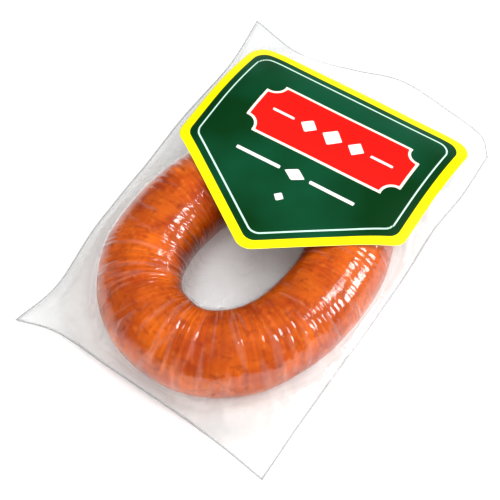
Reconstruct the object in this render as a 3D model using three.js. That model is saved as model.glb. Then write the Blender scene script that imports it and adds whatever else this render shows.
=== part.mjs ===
// A ring sausage in a clear vacuum pouch, with a five-sided label stuck on the front.
//
// Millimetres, +Z up. The pack lies on its back film: Z is 0 where that film rests. X runs across the pouch
// and Y along it, towards the end with the label. The origin is under the middle of the pouch.
//
// Pieces: the sausage, the two clips that close its casing, the back and front films of the pouch, and the
// label. The films are sheets that follow the sausage, meet in a membrane across the middle of the ring, and
// meet again in a flat border all round it.
import * as THREE from "three";
import { mergeVertices } from "three/addons/utils/BufferGeometryUtils.js";

// ---- driving dimensions -------------------------------------------------------------------------------

const SAUSAGE_RADIUS = 20;
const PRESSED_FLAT = 0.7; // how much of the underside its weight presses flat
const FILM_THICKNESS = 0.15;
const GAP = 0.3; // between pieces that touch
const LABEL_THICKNESS = 0.2;

// The sausage's centre line is an oval with slightly square shoulders, narrower at the label end.
const RING = {
  x: 10,
  y: -23.9,
  halfWidth: 41,
  halfLength: 58.5,
  power: 2.15,
  narrowing: 0.06,
  tilt: THREE.MathUtils.degToRad(-7.2),
};

// The two closed ends meet at the label end. Distances run along the centre line from where they meet.
const END = {
  shoulder: 29, // where the full thickness ends
  neck: 12.5, // where the rounded end comes down to the neck
  neckRadius: 2.6,
  clip: 9, // middle of the clip
  tailStart: 5.5,
  tailTip: -1, // each tail reaches a little past the middle
  tailRadius: 3.7,
  sideways: 4.6, // the two necks lie side by side
};
const CLIP = { width: 2.8, outerRadius: 4.4, bevel: 0.5 };

// Heights of the middle of the sheets.
const MEMBRANE_HEIGHT = 10;
const BORDER_HEIGHT = 12;
const BORDER_HEIGHT_AT_LABEL = 19;
const TOWARDS_LABEL = [0.3, 0.9]; // how far a station has to face the label for the border to rise to it
const SHEET_STEP = FILM_THICKNESS + GAP; // from one film's middle to the other's

// How far past the sausage each film needs to turn into the membrane and into the border.
const INNER_TURN = 2.8;
const OUTER_TURN = 5;
const LEAST_BORDER = 2.2;
const STEEPEST_BORDER = 0.7;
const TURN_HANDLE = 0.36; // how gently the turns leave and arrive
const END_DIP = 5.5; // how far the films sink between the two ends
const END_DIP_REACH = 22;

// Between which angles round the sausage, in degrees, each film is drawn on to it.
const FRONT_CONTACT = [180, 0];
const BACK_CONTACT = [220, 320];

// The pouch's edge: four stretches from corner to corner, each through a few points with their heights.
const BOTTOM_LEFT = [-67.8, -106.7, 1.2];
const BOTTOM_RIGHT = [74.2, -109.6, 1.6];
const TOP_RIGHT = [72, 97, 6];
const TOP_LEFT = [-75, 108.8, 2.4];
const RIGHT = [[74.4, -80, 6], [74.8, -48, 8.6], [74.8, -15, 9], [74, 16, 8], [72, 44, 7], [73.6, 68, 7.6]];
const TOP = [[63, 105.6, 8], [42, 108.6, 10], [14, 109.3, 13], [-12, 105.4, 8], [-40, 101.2, 3.5]];
const LEFT = [[-69.2, 74, 4.6], [-68.4, 30, 7], [-66.4, -6, 8], [-65.6, -48, 6.4], [-62, -82, 4]];
const BOTTOM = [[-46, -102, 3.4], [-14, -104, 5.4], [22, -105.4, 5.2], [50, -107, 3.6]];
const POUCH_EDGE = [
  [BOTTOM_RIGHT, ...RIGHT, TOP_RIGHT],
  [TOP_RIGHT, ...TOP, TOP_LEFT],
  [TOP_LEFT, ...LEFT, BOTTOM_LEFT],
  [BOTTOM_LEFT, ...BOTTOM, BOTTOM_RIGHT],
];

// The label: a rectangle with a blunt point towards the middle of the ring.
const LABEL = {
  x: 10.35,
  y: 6.8, // middle of its widest line
  turn: THREE.MathUtils.degToRad(2.3),
  halfWidth: 61.5,
  above: 73.7,
  point: 42.2,
  cornerRadius: 8,
  crestY: 28, // past here it curls down
  curlRadius: 108,
  rightCrest: 52, // past these it droops at the sides
  leftCrest: -33,
  droopRadius: 60,
};

// Where the border is held up by the label: how far it reaches each way, from nothing to fully up.
const HELD_UP = {
  left: [-62, -26],
  right: [72, 44],
  near: [50, 70],
  far: [108, 84],
  clearance: 0.5, // from the label's underside to the front film
};

// How finely the curved pieces are cut into facets.
const STATIONS = 60;
const SECTION_STEP = 20; // degrees round the sausage
const LABEL_ROWS = 14;
const LABEL_COLUMNS = 12;
const BORDER_STEPS = 6;
const TURN_STEPS = 4;
const MEMBRANE_ROWS = [0.4, 0.75]; // shares of the way from the middle of the ring to the sausage
const EDGE_STEPS = 80; // along each stretch of the pouch's edge
const CLIP_FACETS = 20;

// ---- the sausage's centre line ------------------------------------------------------------------------

const AXIS_HEIGHT = FILM_THICKNESS + GAP + SAUSAGE_RADIUS - PRESSED_FLAT;
const RING_TABLE = 2880; // fine steps used to measure along the ring

function rounded(value) {
  return Math.sign(value) * Math.abs(value) ** (2 / RING.power);
}

// A point of the oval at angle t, counter-clockwise from +X.
function ringPoint(t) {
  const across = RING.halfWidth * rounded(Math.cos(t)) * (1 - RING.narrowing * Math.sin(t));
  const along = RING.halfLength * rounded(Math.sin(t));
  const c = Math.cos(RING.tilt);
  const s = Math.sin(RING.tilt);
  return new THREE.Vector2(RING.x + across * c - along * s, RING.y + across * s + along * c);
}

// Running length from t = 90 degrees, which is where the two ends meet, all the way round.
const table = [];
for (let i = 0; i <= RING_TABLE; i++) {
  const t = Math.PI / 2 + (i / RING_TABLE) * 2 * Math.PI;
  const point = ringPoint(t);
  const length = i ? table[i - 1].length + point.distanceTo(table[i - 1].point) : 0;
  table.push({ t, point, length });
}
const RING_LENGTH = table[RING_TABLE].length;

// The station at a running length: its point, its direction along the ring and its outward normal.
function stationAt(length) {
  const wrapped = THREE.MathUtils.euclideanModulo(length, RING_LENGTH);
  let i = table.findIndex((row) => row.length > wrapped);
  i = i < 0 ? RING_TABLE : i;
  const [a, b] = [table[i - 1], table[i]];
  const share = (wrapped - a.length) / (b.length - a.length);
  const smooth = 0.02; // radians, over which the direction is measured
  const t = THREE.MathUtils.lerp(a.t, b.t, share);
  const along = ringPoint(t + smooth).sub(ringPoint(t - smooth)).normalize();
  return {
    length: wrapped,
    point: ringPoint(t),
    along,
    outward: new THREE.Vector2(along.y, -along.x),
    fromEnds: Math.min(wrapped, RING_LENGTH - wrapped),
  };
}

// ---- the pouch's edge ---------------------------------------------------------------------------------

const edgePoints = POUCH_EDGE.flatMap((stretch) => {
  const corners = stretch.map(([x, y, z]) => new THREE.Vector3(x, y, z));
  return new THREE.CatmullRomCurve3(corners, false, "catmullrom", 0.5).getPoints(EDGE_STEPS).slice(0, -1);
});

// How far a point lies to the left of the line from a station straight outwards.
function leftOf(station, point) {
  const reach = new THREE.Vector2(point.x, point.y).sub(station.point);
  return reach.dot(station.outward) > 0 ? station.outward.cross(reach) : NaN;
}

// Where the line from a station straight outwards crosses the pouch's edge.
function edgeBeyond(station) {
  for (let i = 0; i < edgePoints.length; i++) {
    const a = edgePoints[i];
    const b = edgePoints[(i + 1) % edgePoints.length];
    const [before, after] = [leftOf(station, a), leftOf(station, b)];
    if (before <= 0 && after > 0) return a.clone().lerp(b, -before / (after - before));
  }
  throw new Error("the pouch's edge isn't closed round the ring");
}

// Stations are evenly spaced, except that one is moved to point straight at each corner of the pouch.
function makeStations() {
  const lengths = Array.from({ length: STATIONS }, (_, i) => ((i + 0.5) * RING_LENGTH) / STATIONS);
  const fine = Array.from({ length: RING_TABLE }, (_, i) => stationAt((i * RING_LENGTH) / RING_TABLE));
  for (const [x, y] of [BOTTOM_LEFT, BOTTOM_RIGHT, TOP_RIGHT, TOP_LEFT]) {
    const miss = (station) => {
      const left = Math.abs(leftOf(station, { x, y }));
      return Number.isNaN(left) ? Infinity : left;
    };
    const facing = fine.reduce((found, station) => (miss(found) <= miss(station) ? found : station));
    const distance = (l) => Math.abs(l - facing.length);
    const nearest = lengths.reduce((found, l, i) => (distance(l) < distance(lengths[found]) ? i : found), 0);
    lengths[nearest] = facing.length;
  }
  return lengths.map(stationAt);
}
const stations = makeStations();

// ---- meshes from grids --------------------------------------------------------------------------------

function geometryFrom(positions, triangles) {
  const geometry = new THREE.BufferGeometry();
  geometry.setAttribute("position", new THREE.Float32BufferAttribute(positions.flat(), 3));
  geometry.setIndex(triangles.flat());
  return mergeVertices(geometry, 1e-4);
}

// Two triangles for each cell of a grid of rows, with the last column joined to the first if it is closed.
function gridTriangles(rows, columns, closed, first = 0) {
  const triangles = [];
  for (let r = 0; r + 1 < rows; r++) {
    for (let c = 0; c < (closed ? columns : columns - 1); c++) {
      const next = (c + 1) % columns;
      const [a, b] = [first + r * columns + c, first + r * columns + next];
      triangles.push([a, b, b + columns], [a, b + columns, a + columns]);
    }
  }
  return triangles;
}

// Surface normals of a grid of THREE.Vector3 rows, from the neighbours of each point.
function gridNormals(grid, closed) {
  return grid.map((row, r) =>
    row.map((_, c) => {
      const before = closed ? (c + row.length - 1) % row.length : Math.max(c - 1, 0);
      const after = closed ? (c + 1) % row.length : Math.min(c + 1, row.length - 1);
      const along = row[after].clone().sub(row[before]);
      const out = grid[Math.min(r + 1, grid.length - 1)][c].clone().sub(grid[Math.max(r - 1, 0)][c]);
      return out.cross(along).normalize();
    }),
  );
}

// A sheet of even thickness about a grid that starts at one middle point and ends at a rim.
function discSheet(middle, grid, thickness) {
  const columns = grid[0].length;
  const normals = gridNormals([Array(columns).fill(middle), ...grid], true).slice(1);
  const side = (sign) =>
    grid.flatMap((row, r) =>
      row.map((p, c) => p.clone().addScaledVector(normals[r][c], (sign * thickness) / 2).toArray()),
    );
  const [top, bottom] = [side(1), side(-1)];
  const count = top.length;
  const middles = [1, -1].map((sign) => [middle.x, middle.y, middle.z + (sign * thickness) / 2]);
  const [topMiddle, bottomMiddle] = [2 * count, 2 * count + 1];
  const triangles = gridTriangles(grid.length, columns, true).map(([a, b, c]) => [a, c, b]);
  triangles.push(...gridTriangles(grid.length, columns, true, count));
  for (let c = 0; c < columns; c++) {
    const next = (c + 1) % columns;
    const [rim, rimNext] = [count - columns + c, count - columns + next];
    triangles.push([topMiddle, c, next], [bottomMiddle, count + next, count + c]);
    triangles.push([rim, rim + count, rimNext], [rimNext, rim + count, rimNext + count]);
  }
  return geometryFrom([...top, ...bottom, ...middles], triangles);
}

// A closed solid from rings of points, with a flat cap on each end.
function tubeThrough(rings) {
  const columns = rings[0].length;
  const centreOf = (ring) => {
    const sum = ring.reduce((total, p) => total.add(p), new THREE.Vector3());
    return sum.divideScalar(ring.length).toArray();
  };
  const positions = rings.flatMap((ring) => ring.map((p) => p.toArray()));
  const last = (rings.length - 1) * columns;
  const [startCentre, endCentre] = [positions.length, positions.length + 1];
  positions.push(centreOf(rings[0]), centreOf(rings.at(-1)));
  const triangles = gridTriangles(rings.length, columns, true).map(([a, b, c]) => [a, c, b]);
  for (let c = 0; c < columns; c++) {
    const next = (c + 1) % columns;
    triangles.push([startCentre, c, next], [endCentre, last + next, last + c]);
  }
  return geometryFrom(positions, triangles);
}

// ---- the sausage --------------------------------------------------------------------------------------

// A point beside the centre line: outwards by d and at height z.
function beside(station, d, z) {
  const p = station.point.clone().addScaledVector(station.outward, d);
  return new THREE.Vector3(p.x, p.y, z);
}

// How far an end's neck lies to one side. The left end swings outwards and the right end inwards.
function sidewaysAt(fromEnds) {
  return END.sideways * (1 - THREE.MathUtils.smoothstep(fromEnds, END.neck + 1, END.shoulder - 3));
}

function sausageRing(station, radius, sideways) {
  const ring = [];
  for (let angle = 0; angle < 360; angle += SECTION_STEP) {
    const a = THREE.MathUtils.degToRad(angle);
    const height = Math.max(radius * Math.sin(a), PRESSED_FLAT - SAUSAGE_RADIUS);
    ring.push(beside(station, sideways + radius * Math.cos(a), AXIS_HEIGHT + height));
  }
  return ring;
}

// One closed end, from its shoulder out to the tip of its tail, as distances and radii.
function endProfile() {
  const roundLength = END.shoulder - END.neck;
  const rounding = [25, 45, 62, 76].map((degrees) => {
    const b = THREE.MathUtils.degToRad(degrees);
    return [END.shoulder - roundLength * Math.sin(b), SAUSAGE_RADIUS * Math.cos(b)];
  });
  const tailMiddle = (END.tailStart + END.tailTip) / 2;
  return [
    [END.shoulder, SAUSAGE_RADIUS],
    ...rounding,
    [END.neck, END.neckRadius],
    [END.tailStart, END.neckRadius],
    [tailMiddle, END.tailRadius * 0.9],
    [END.tailTip, END.tailRadius],
  ];
}

function makeSausage() {
  const ends = endProfile();
  const rings = [...ends].reverse().map(([distance, radius]) => {
    return sausageRing(stationAt(distance), radius, sidewaysAt(distance));
  });
  for (const station of stations) {
    if (station.fromEnds > END.shoulder + 2) rings.push(sausageRing(station, SAUSAGE_RADIUS, 0));
  }
  for (const [distance, radius] of ends) {
    rings.push(sausageRing(stationAt(-distance), radius, -sidewaysAt(distance)));
  }
  return tubeThrough(rings);
}

// A crimped clip: a square-section ring round the neck.
function makeClip(name, side) {
  const inner = END.neckRadius + GAP;
  const half = CLIP.width / 2;
  const profile = [
    [inner, -half],
    [CLIP.outerRadius - CLIP.bevel, -half],
    [CLIP.outerRadius, -half + CLIP.bevel],
    [CLIP.outerRadius, half - CLIP.bevel],
    [CLIP.outerRadius - CLIP.bevel, half],
    [inner, half],
    [inner, -half],
  ].map(([x, y]) => new THREE.Vector2(x, y));
  const mesh = new THREE.Mesh(new THREE.LatheGeometry(profile, CLIP_FACETS), clipMetal);
  const station = stationAt(side * END.clip);
  mesh.position.copy(beside(station, side * END.sideways, AXIS_HEIGHT));
  const along = new THREE.Vector3(station.along.x, station.along.y, 0);
  mesh.quaternion.setFromUnitVectors(new THREE.Vector3(0, 1, 0), along);
  mesh.name = name;
  return mesh;
}

// ---- the films ----------------------------------------------------------------------------------------

// Radius of the middle of a film round the sausage. It sinks between the two ends.
function filmRadius(station) {
  const along = Math.min(station.fromEnds / END_DIP_REACH, 1);
  const dip = END_DIP * Math.cos((along * Math.PI) / 2) ** 2;
  return SAUSAGE_RADIUS + GAP + FILM_THICKNESS / 2 - dip;
}

// A cubic turn between two [d, z] points that leaves and arrives along the given directions.
function turn(from, leaving, to, arriving) {
  const [a, b] = [new THREE.Vector2(...from), new THREE.Vector2(...to)];
  const curve = new THREE.CubicBezierCurve(
    a,
    a.clone().addScaledVector(new THREE.Vector2(...leaving), a.distanceTo(b) * TURN_HANDLE),
    b.clone().addScaledVector(new THREE.Vector2(...arriving), -a.distanceTo(b) * TURN_HANDLE),
    b,
  );
  return curve.getPoints(TURN_STEPS).slice(1, -1).map((p) => [p.x, p.y]);
}

// One section through a film, from the membrane's rim to the border's inner rim, as [d, z] pairs.
// The film lies on the sausage between the angles first and last, which run through its top or underside.
function filmSection(station, first, last, membraneZ, borderZ, outerFoot) {
  const radius = filmRadius(station);
  const upper = last < first;
  const onSausage = [];
  const step = upper ? -SECTION_STEP : SECTION_STEP;
  for (let angle = first; upper ? angle >= last : angle <= last; angle += step) {
    const a = THREE.MathUtils.degToRad(angle);
    const z = Math.max(AXIS_HEIGHT + radius * Math.sin(a), FILM_THICKNESS / 2);
    onSausage.push([radius * Math.cos(a), z]);
  }
  const [a, b] = [THREE.MathUtils.degToRad(first), THREE.MathUtils.degToRad(last)];
  const way = upper ? 1 : -1;
  const innerFoot = [-radius - INNER_TURN, membraneZ];
  const foot = [outerFoot, borderZ];
  return [
    innerFoot,
    ...turn(innerFoot, [1, 0], onSausage[0], [way * Math.sin(a), -way * Math.cos(a)]),
    ...onSausage,
    ...turn(onSausage.at(-1), [way * Math.sin(b), -way * Math.cos(b)], foot, [1, 0]),
    foot,
  ];
}

// How far the label holds the border up, from 0 to 1, and the height it holds it at.
function heldUp(x, y) {
  const ramp = (value, [from, to]) => {
    const share = THREE.MathUtils.clamp((value - from) / (to - from), 0, 1);
    return THREE.MathUtils.smoothstep(share, 0, 1);
  };
  return ramp(x, HELD_UP.left) * ramp(x, HELD_UP.right) * ramp(y, HELD_UP.near) * ramp(y, HELD_UP.far);
}

function underLabel(x, y) {
  return labelHeight(x, y) - LABEL_THICKNESS / 2 - HELD_UP.clearance - SHEET_STEP;
}

function makeFilm([first, last], lift) {
  const membraneZ = MEMBRANE_HEIGHT + lift;
  const middle = new THREE.Vector3(RING.x, RING.y, membraneZ);
  const columns = stations.map((station) => {
    const edge = edgeBeyond(station);
    const room = new THREE.Vector2(edge.x, edge.y).distanceTo(station.point);
    const outerFoot = Math.min(filmRadius(station) + OUTER_TURN, room - LEAST_BORDER);
    const towardsLabel = THREE.MathUtils.smoothstep(station.outward.y, ...TOWARDS_LABEL);
    const leaving = THREE.MathUtils.lerp(BORDER_HEIGHT, BORDER_HEIGHT_AT_LABEL, towardsLabel);
    const borderZ = Math.min(leaving, edge.z + STEEPEST_BORDER * (room - outerFoot)) + lift;
    const section = filmSection(station, first, last, membraneZ, borderZ, outerFoot);
    const points = section.map(([d, z]) => beside(station, d, z));
    const inside = MEMBRANE_ROWS.map((share) => middle.clone().lerp(points[0], share));
    const foot = points.at(-1);
    const rim = edge.clone().setZ(edge.z + lift);
    const border = Array.from({ length: BORDER_STEPS }, (_, i) => {
      const share = (i + 1) / BORDER_STEPS;
      const p = foot.clone().lerp(rim, share);
      const lying = THREE.MathUtils.lerp(foot.z, rim.z, THREE.MathUtils.smoothstep(share, 0, 1));
      return p.setZ(THREE.MathUtils.lerp(lying, underLabel(p.x, p.y) + lift, heldUp(p.x, p.y)));
    });
    return [...inside, ...points, ...border];
  });
  const grid = columns[0].map((_, k) => columns.map((column) => column[k]));
  return discSheet(middle, grid, FILM_THICKNESS);
}

// ---- the label ----------------------------------------------------------------------------------------

// Half of the label's width at height v above its widest line, with rounded corners: the corners of a
// smaller five-sided shape, each with a circle of the corner radius round it.
function labelHalfWidth(v) {
  const r = LABEL.cornerRadius;
  const slant = Math.hypot(LABEL.halfWidth, LABEL.point);
  const tip = -LABEL.point + (r * slant) / LABEL.halfWidth;
  const side = LABEL.halfWidth - r;
  const shoulder = tip + (side * LABEL.point) / LABEL.halfWidth;
  const top = LABEL.above - r;
  const outline = [[0, tip], [side, shoulder], [side, top], [0, top]];
  let half = 0;
  for (let i = 0; i + 1 < outline.length; i++) {
    for (let share = 0; share <= 1; share += 0.01) {
      const u = THREE.MathUtils.lerp(outline[i][0], outline[i + 1][0], share);
      const rise = v - THREE.MathUtils.lerp(outline[i][1], outline[i + 1][1], share);
      if (Math.abs(rise) <= r) half = Math.max(half, u + Math.sqrt(r * r - rise * rise));
    }
  }
  return half;
}

function labelHeight(x, y) {
  const crest = AXIS_HEIGHT + SAUSAGE_RADIUS + GAP + FILM_THICKNESS;
  const over = (distance, radius) => Math.max(distance, 0) ** 2 / (2 * radius);
  const curl = over(y - LABEL.crestY, LABEL.curlRadius);
  const droop = over(x - LABEL.rightCrest, LABEL.droopRadius) + over(LABEL.leftCrest - x, LABEL.droopRadius);
  return crest + GAP + LABEL_THICKNESS / 2 - curl - droop;
}

function makeLabel() {
  const slant = Math.hypot(LABEL.halfWidth, LABEL.point);
  const lowest = -LABEL.point + LABEL.cornerRadius * (slant / LABEL.halfWidth - 1);
  const inset = 0.05; // keeps the first and last rows wider than nothing
  const grid = [];
  for (let r = 0; r <= LABEL_ROWS; r++) {
    // Rows crowd towards both ends, where the outline turns.
    const share = (1 - Math.cos((r / LABEL_ROWS) * Math.PI)) / 2;
    const v = THREE.MathUtils.lerp(lowest + inset, LABEL.above - inset, share);
    const half = labelHalfWidth(v);
    const row = [];
    for (let c = 0; c <= LABEL_COLUMNS; c++) {
      const u = half * ((2 * c) / LABEL_COLUMNS - 1);
      const flat = new THREE.Vector2(u, v).rotateAround(new THREE.Vector2(), LABEL.turn);
      const [x, y] = [LABEL.x + flat.x, LABEL.y + flat.y];
      row.push([x, y, labelHeight(x, y)]);
    }
    grid.push(row);
  }
  return slab(grid, LABEL_THICKNESS);
}

// A sheet of even thickness about an open grid of rows, thickened along Z.
function slab(grid, thickness) {
  const [rows, columns] = [grid.length, grid[0].length];
  const count = rows * columns;
  const side = (sign) => grid.flat().map(([x, y, z]) => [x, y, z + (sign * thickness) / 2]);
  const triangles = gridTriangles(rows, columns, false);
  triangles.push(...gridTriangles(rows, columns, false, count).map(([a, b, c]) => [a, c, b]));
  const wall = (a, b) => triangles.push([a, a + count, b], [b, a + count, b + count]);
  for (let c = 0; c + 1 < columns; c++) {
    wall(c, c + 1);
    wall((rows - 1) * columns + c + 1, (rows - 1) * columns + c);
  }
  for (let r = 0; r + 1 < rows; r++) {
    wall((r + 1) * columns, r * columns);
    wall((r + 1) * columns - 1, (r + 2) * columns - 1);
  }
  return geometryFrom([...side(1), ...side(-1)], triangles);
}

// ---- materials and the finished group -----------------------------------------------------------------

const smokedCasing = new THREE.MeshStandardMaterial({ color: 0xbf4c12, roughness: 0.4, metalness: 0 });
const clipMetal = new THREE.MeshStandardMaterial({ color: 0xc3c6c8, roughness: 0.35, metalness: 1 });
const clearFilm = new THREE.MeshStandardMaterial({
  color: 0xf2f4f4,
  roughness: 0.08,
  metalness: 0,
  transparent: true,
  opacity: 0.2,
});
const printedPaper = new THREE.MeshStandardMaterial({ color: 0x0b5a34, roughness: 0.35, metalness: 0 });

function named(name, geometry, material) {
  const mesh = new THREE.Mesh(geometry, material);
  mesh.name = name;
  return mesh;
}

const pack = new THREE.Group();
pack.add(
  named("sausage", makeSausage(), smokedCasing),
  makeClip("end_clip_left", 1),
  makeClip("end_clip_right", -1),
  named("back_film", makeFilm(BACK_CONTACT, -SHEET_STEP / 2), clearFilm),
  named("front_film", makeFilm(FRONT_CONTACT, SHEET_STEP / 2), clearFilm),
  named("label", makeLabel(), printedPaper),
);
export default pack;
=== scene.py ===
# %% [markdown]
# # A ring sausage in its vacuum pouch
#
# A smoked sausage bent into a ring lies in a pouch of clear film. The air has been drawn out, so the film
# hugs the sausage, meets itself in a thin membrane across the middle of the ring, and meets itself again in
# a border all round. A five-sided label is stuck over the place where the two clipped ends meet.
#
# The measured model is loaded first and nothing in it is moved. Every piece made here lies exactly where
# that model has its plain version, in the same frame: metres, +Z up, +Y towards the label.

# %% Load the measured model
import math

import bpy
import numpy as np
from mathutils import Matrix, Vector


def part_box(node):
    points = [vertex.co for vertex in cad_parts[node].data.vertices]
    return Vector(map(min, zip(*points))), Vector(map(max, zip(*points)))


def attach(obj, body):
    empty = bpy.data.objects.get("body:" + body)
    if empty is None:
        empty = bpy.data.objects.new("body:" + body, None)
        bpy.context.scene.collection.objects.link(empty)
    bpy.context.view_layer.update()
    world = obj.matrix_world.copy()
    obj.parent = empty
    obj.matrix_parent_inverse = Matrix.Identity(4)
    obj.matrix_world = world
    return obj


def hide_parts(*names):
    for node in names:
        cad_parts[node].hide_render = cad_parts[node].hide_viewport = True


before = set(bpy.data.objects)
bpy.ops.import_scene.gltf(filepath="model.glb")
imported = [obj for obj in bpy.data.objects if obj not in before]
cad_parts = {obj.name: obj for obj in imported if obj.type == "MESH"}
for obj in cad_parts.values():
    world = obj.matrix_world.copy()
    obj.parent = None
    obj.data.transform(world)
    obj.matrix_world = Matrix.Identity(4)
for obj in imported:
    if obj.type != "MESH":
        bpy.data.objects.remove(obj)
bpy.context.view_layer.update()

MM = 0.001  # lengths below are in millimetres, and a mesh is written in metres
sausage_low, sausage_high = (np.array(corner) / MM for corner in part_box("sausage"))
print("sausage", sausage_high - sausage_low)

# %% [markdown]
# ## The line that everything follows
# The sausage, both films and their creases are all easiest to describe by two numbers: how far along the
# ring a point is, and how far across. So the centre line comes first. It is an oval with slightly square
# shoulders, a superellipse, and its points are spread evenly by length, because a curve's own angle
# bunches points up where it is tightly bent.

# %% The centre line
TUBE = 20.0  # radius of the sausage
PRESSED = 0.7  # how much of its underside its weight presses flat
AXIS_Z = sausage_low[2] + TUBE - PRESSED
RING_CENTRE = np.array([10.0, -23.9])
RING_HALF_WIDTH = 41.0
RING_HALF_LENGTH = 58.5
RING_POWER = 2.15
RING_NARROWING = 0.06
RING_TILT = math.radians(-7.2)


def oval(t):
    """Point of the centre line at angle t: cosine and sine, each raised to 2 / power with its sign kept,
    times the half sizes; the label end is a little narrower; then the whole is turned by the tilt."""
    cosine, sine = np.cos(t), np.sin(t)
    across = RING_HALF_WIDTH * np.sign(cosine) * np.abs(cosine) ** (2 / RING_POWER)
    across = across * (1 - RING_NARROWING * sine)
    along = RING_HALF_LENGTH * np.sign(sine) * np.abs(sine) ** (2 / RING_POWER)
    c, s = math.cos(RING_TILT), math.sin(RING_TILT)
    return RING_CENTRE + np.stack([across * c - along * s, across * s + along * c], axis=-1)


fine_angle = np.linspace(0.5 * math.pi, 2.5 * math.pi, 6001)
fine_steps = np.linalg.norm(np.diff(oval(fine_angle), axis=0), axis=1)
fine_length = np.concatenate([[0.0], np.cumsum(fine_steps)])
RING_LENGTH = fine_length[-1]


def stations(length):
    """Points at these lengths from where the ends meet, with the unit directions along and outwards."""
    t = np.interp(np.mod(length, RING_LENGTH), fine_length, fine_angle)
    along = oval(t + 0.03) - oval(t - 0.03)
    along = along / np.linalg.norm(along, axis=-1, keepdims=True)
    outward = np.stack([along[..., 1], -along[..., 0]], axis=-1)
    return oval(t), along, outward


print("ring length", round(RING_LENGTH, 1), "mm, axis", round(float(AXIS_Z), 2), "mm up")

# %% [markdown]
# ## From arrays to meshes
# A surface here is a grid of points worked out all at once. Two helpers turn such a grid into a mesh, and
# a third hangs extra numbers on its points for the materials to read.

# %% Meshes from grids
def ramp(value, start, end):
    """0 before start, 1 after end, and a smooth S between them. It also runs downwards if end is lower."""
    share = np.clip((value - start) / (end - start), 0.0, 1.0)
    return share * share * (3 - 2 * share)


def build_piece(name, points, faces, layers, materials, face_material=None):
    """A mesh object from points in mm, arrays of faces with one face a row, and per-point numbers to keep."""
    mesh = bpy.data.meshes.new(name)
    mesh.vertices.add(len(points))
    mesh.vertices.foreach_set("co", (np.asarray(points) * MM).astype(np.float32).ravel())
    corners = np.concatenate([part.ravel() for part in faces]).astype(np.int32)
    sizes = np.concatenate([np.full(len(part), part.shape[1]) for part in faces])
    mesh.loops.add(len(corners))
    mesh.loops.foreach_set("vertex_index", corners)
    mesh.polygons.add(len(sizes))
    mesh.polygons.foreach_set("loop_start", np.concatenate([[0], np.cumsum(sizes)[:-1]]).astype(np.int32))
    if face_material is not None:
        mesh.polygons.foreach_set("material_index", face_material.astype(np.int32))
    mesh.update(calc_edges=True)
    mesh.shade_smooth()
    for layer, values in layers.items():
        kind = "FLOAT" if values.ndim == 1 else "FLOAT_VECTOR"
        field = "value" if values.ndim == 1 else "vector"
        mesh.attributes.new(layer, kind, "POINT").data.foreach_set(field, values.astype(np.float32).ravel())
    for material in materials:
        mesh.materials.append(material)
    piece = bpy.data.objects.new(name, mesh)
    bpy.context.scene.collection.objects.link(piece)
    triangles = sum(len(part) * (part.shape[1] - 2) for part in faces)
    print(f"{name}: {len(points)} points, {triangles} triangles")
    return piece


def grid_quads(rows, columns, wraps, first=0):
    """Quads of a grid stored row by row. If it wraps, the last column joins the first. Seen from where the
    rows go away from the eye and the columns go to the left, the faces point at the eye."""
    last = columns if wraps else columns - 1
    row, column = np.meshgrid(np.arange(rows - 1), np.arange(last), indexing="ij")
    following = (column + 1) % columns
    near = first + row * columns
    far = near + columns
    quads = np.stack([near + column, far + column, far + following, near + following], -1)
    return quads.reshape(-1, 4)


def closed_tube(grid):
    """Points and faces of a tube from rows of points round it, closed by a fan on each end round a point in
    the middle of that end's row."""
    rows, sides = grid.shape[:2]
    ends = np.stack([grid[0].mean(0), grid[-1].mean(0)])
    points = np.concatenate([grid.reshape(-1, 3), ends])
    column = np.arange(sides)
    following = (column + 1) % sides
    count = rows * sides
    last = count - sides
    fans = np.concatenate([
        np.stack([np.full_like(column, count), column, following], -1),
        np.stack([np.full_like(column, count + 1), last + following, last + column], -1),
    ])
    return points, [grid_quads(rows, sides, wraps=True), fans]


# %% [markdown]
# Wrinkles and lumps are needed on every soft piece. Two kinds do it all: a sum of smooth waves that meets
# itself after one turn of the ring, for slow lumps; and single ridges with a place, a length and a width
# of their own, for creases. The draws are seeded, so each run gives the same pack.

# %% Lumps and creases
def waves(along, across, shortest, longest, count, turns, seed):
    """Sum of cosine waves, about -1 to 1. Each has a whole number of waves round the ring, between the two
    lengths given, and a whole number round the section, so nothing jumps where the ring closes."""
    draw = np.random.default_rng(seed)
    total = 0.0
    for _ in range(count):
        around = round(RING_LENGTH / draw.uniform(shortest, longest)) * draw.choice([-1, 1])
        sideways = draw.integers(-turns, turns + 1)
        phase = draw.uniform(0, 2 * math.pi)
        total = total + np.cos(2 * math.pi * around * along / RING_LENGTH + sideways * across + phase)
    return total / math.sqrt(count) / 1.5


def crease_family(seed, count, along, middle, length, width, height, slant):
    """Draws for one family of creases: a table with one crease a row. Each pair gives the least and most."""
    draw = np.random.default_rng(seed)
    ranges = (along, middle, length, width, height, (-slant, slant))
    return np.stack([draw.uniform(low, high, count) for low, high in ranges], axis=1)


def crease_height(along, across, table):
    """Height of all the creases of a table at grid points given by their place along the ring and across the
    section. Each is a bell curve over its width, fading at both ends of its length, leaning by its slant."""
    total = np.zeros(np.broadcast(along, across).shape)
    for place, middle, length, width, height, slant in table:
        sideways = np.mod(along - place - slant * (across - middle) + RING_LENGTH / 2, RING_LENGTH)
        sideways = sideways - RING_LENGTH / 2
        bell = np.exp(-((sideways / width) ** 2))
        fade = np.clip(1 - ((across - middle) / (length / 2)) ** 2, 0, None) ** 1.5
        total += height * bell * fade
    return total


# %% [markdown]
# ## Colours and nodes
# Colours are written the way a designer would, as sRGB hex, and turned to the linear numbers that a shader
# works in by one function. One more function adds a node, sets it and links it.

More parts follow.
